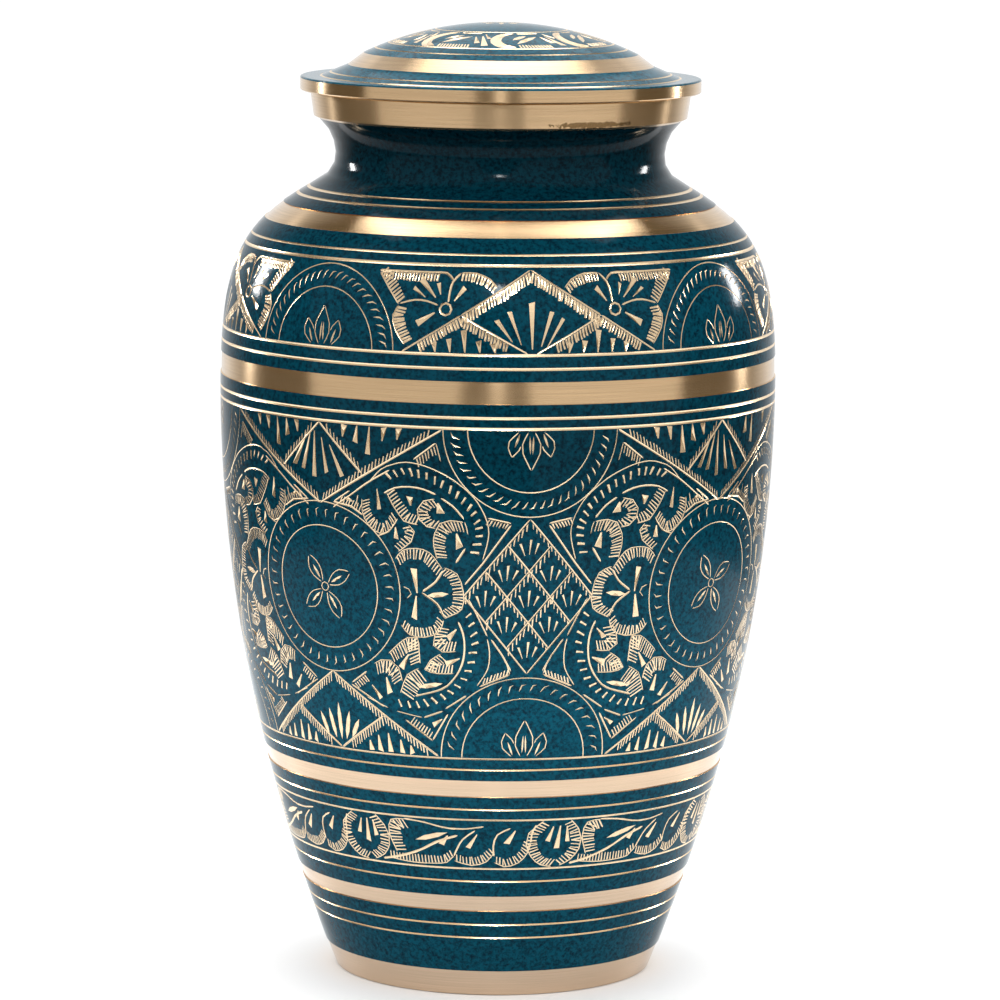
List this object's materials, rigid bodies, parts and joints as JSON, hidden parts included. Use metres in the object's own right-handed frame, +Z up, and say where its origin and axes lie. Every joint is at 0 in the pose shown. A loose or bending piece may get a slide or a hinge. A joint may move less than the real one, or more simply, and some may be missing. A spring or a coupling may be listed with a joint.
{
  "type": "cremation urn",
  "caption": "Shouldered brass urn on a plain foot with a narrow neck and a low domed lift-off lid, engraved through teal enamel.",
  "frame": {"origin": "centre of the base, on the surface the urn stands on", "axes": "+Z up along the axis the urn is turned on, -Y towards the front that the picture shows, +X to its right"},
  "size_m": [0.157, 0.157, 0.2686],
  "materials": {
    "teal_enamel": "gloss teal enamel over brass, cut through to the metal in the bands and the pattern",
    "lid_enamel": "gloss teal enamel over brass, cut through to the metal in the pattern and the edge",
    "cut_brass": "satin turned brass"
  },
  "bodies": {
    "root": {"urn_body": "teal_enamel", "lid": "lid_enamel"}
  },
  "joints": []
}
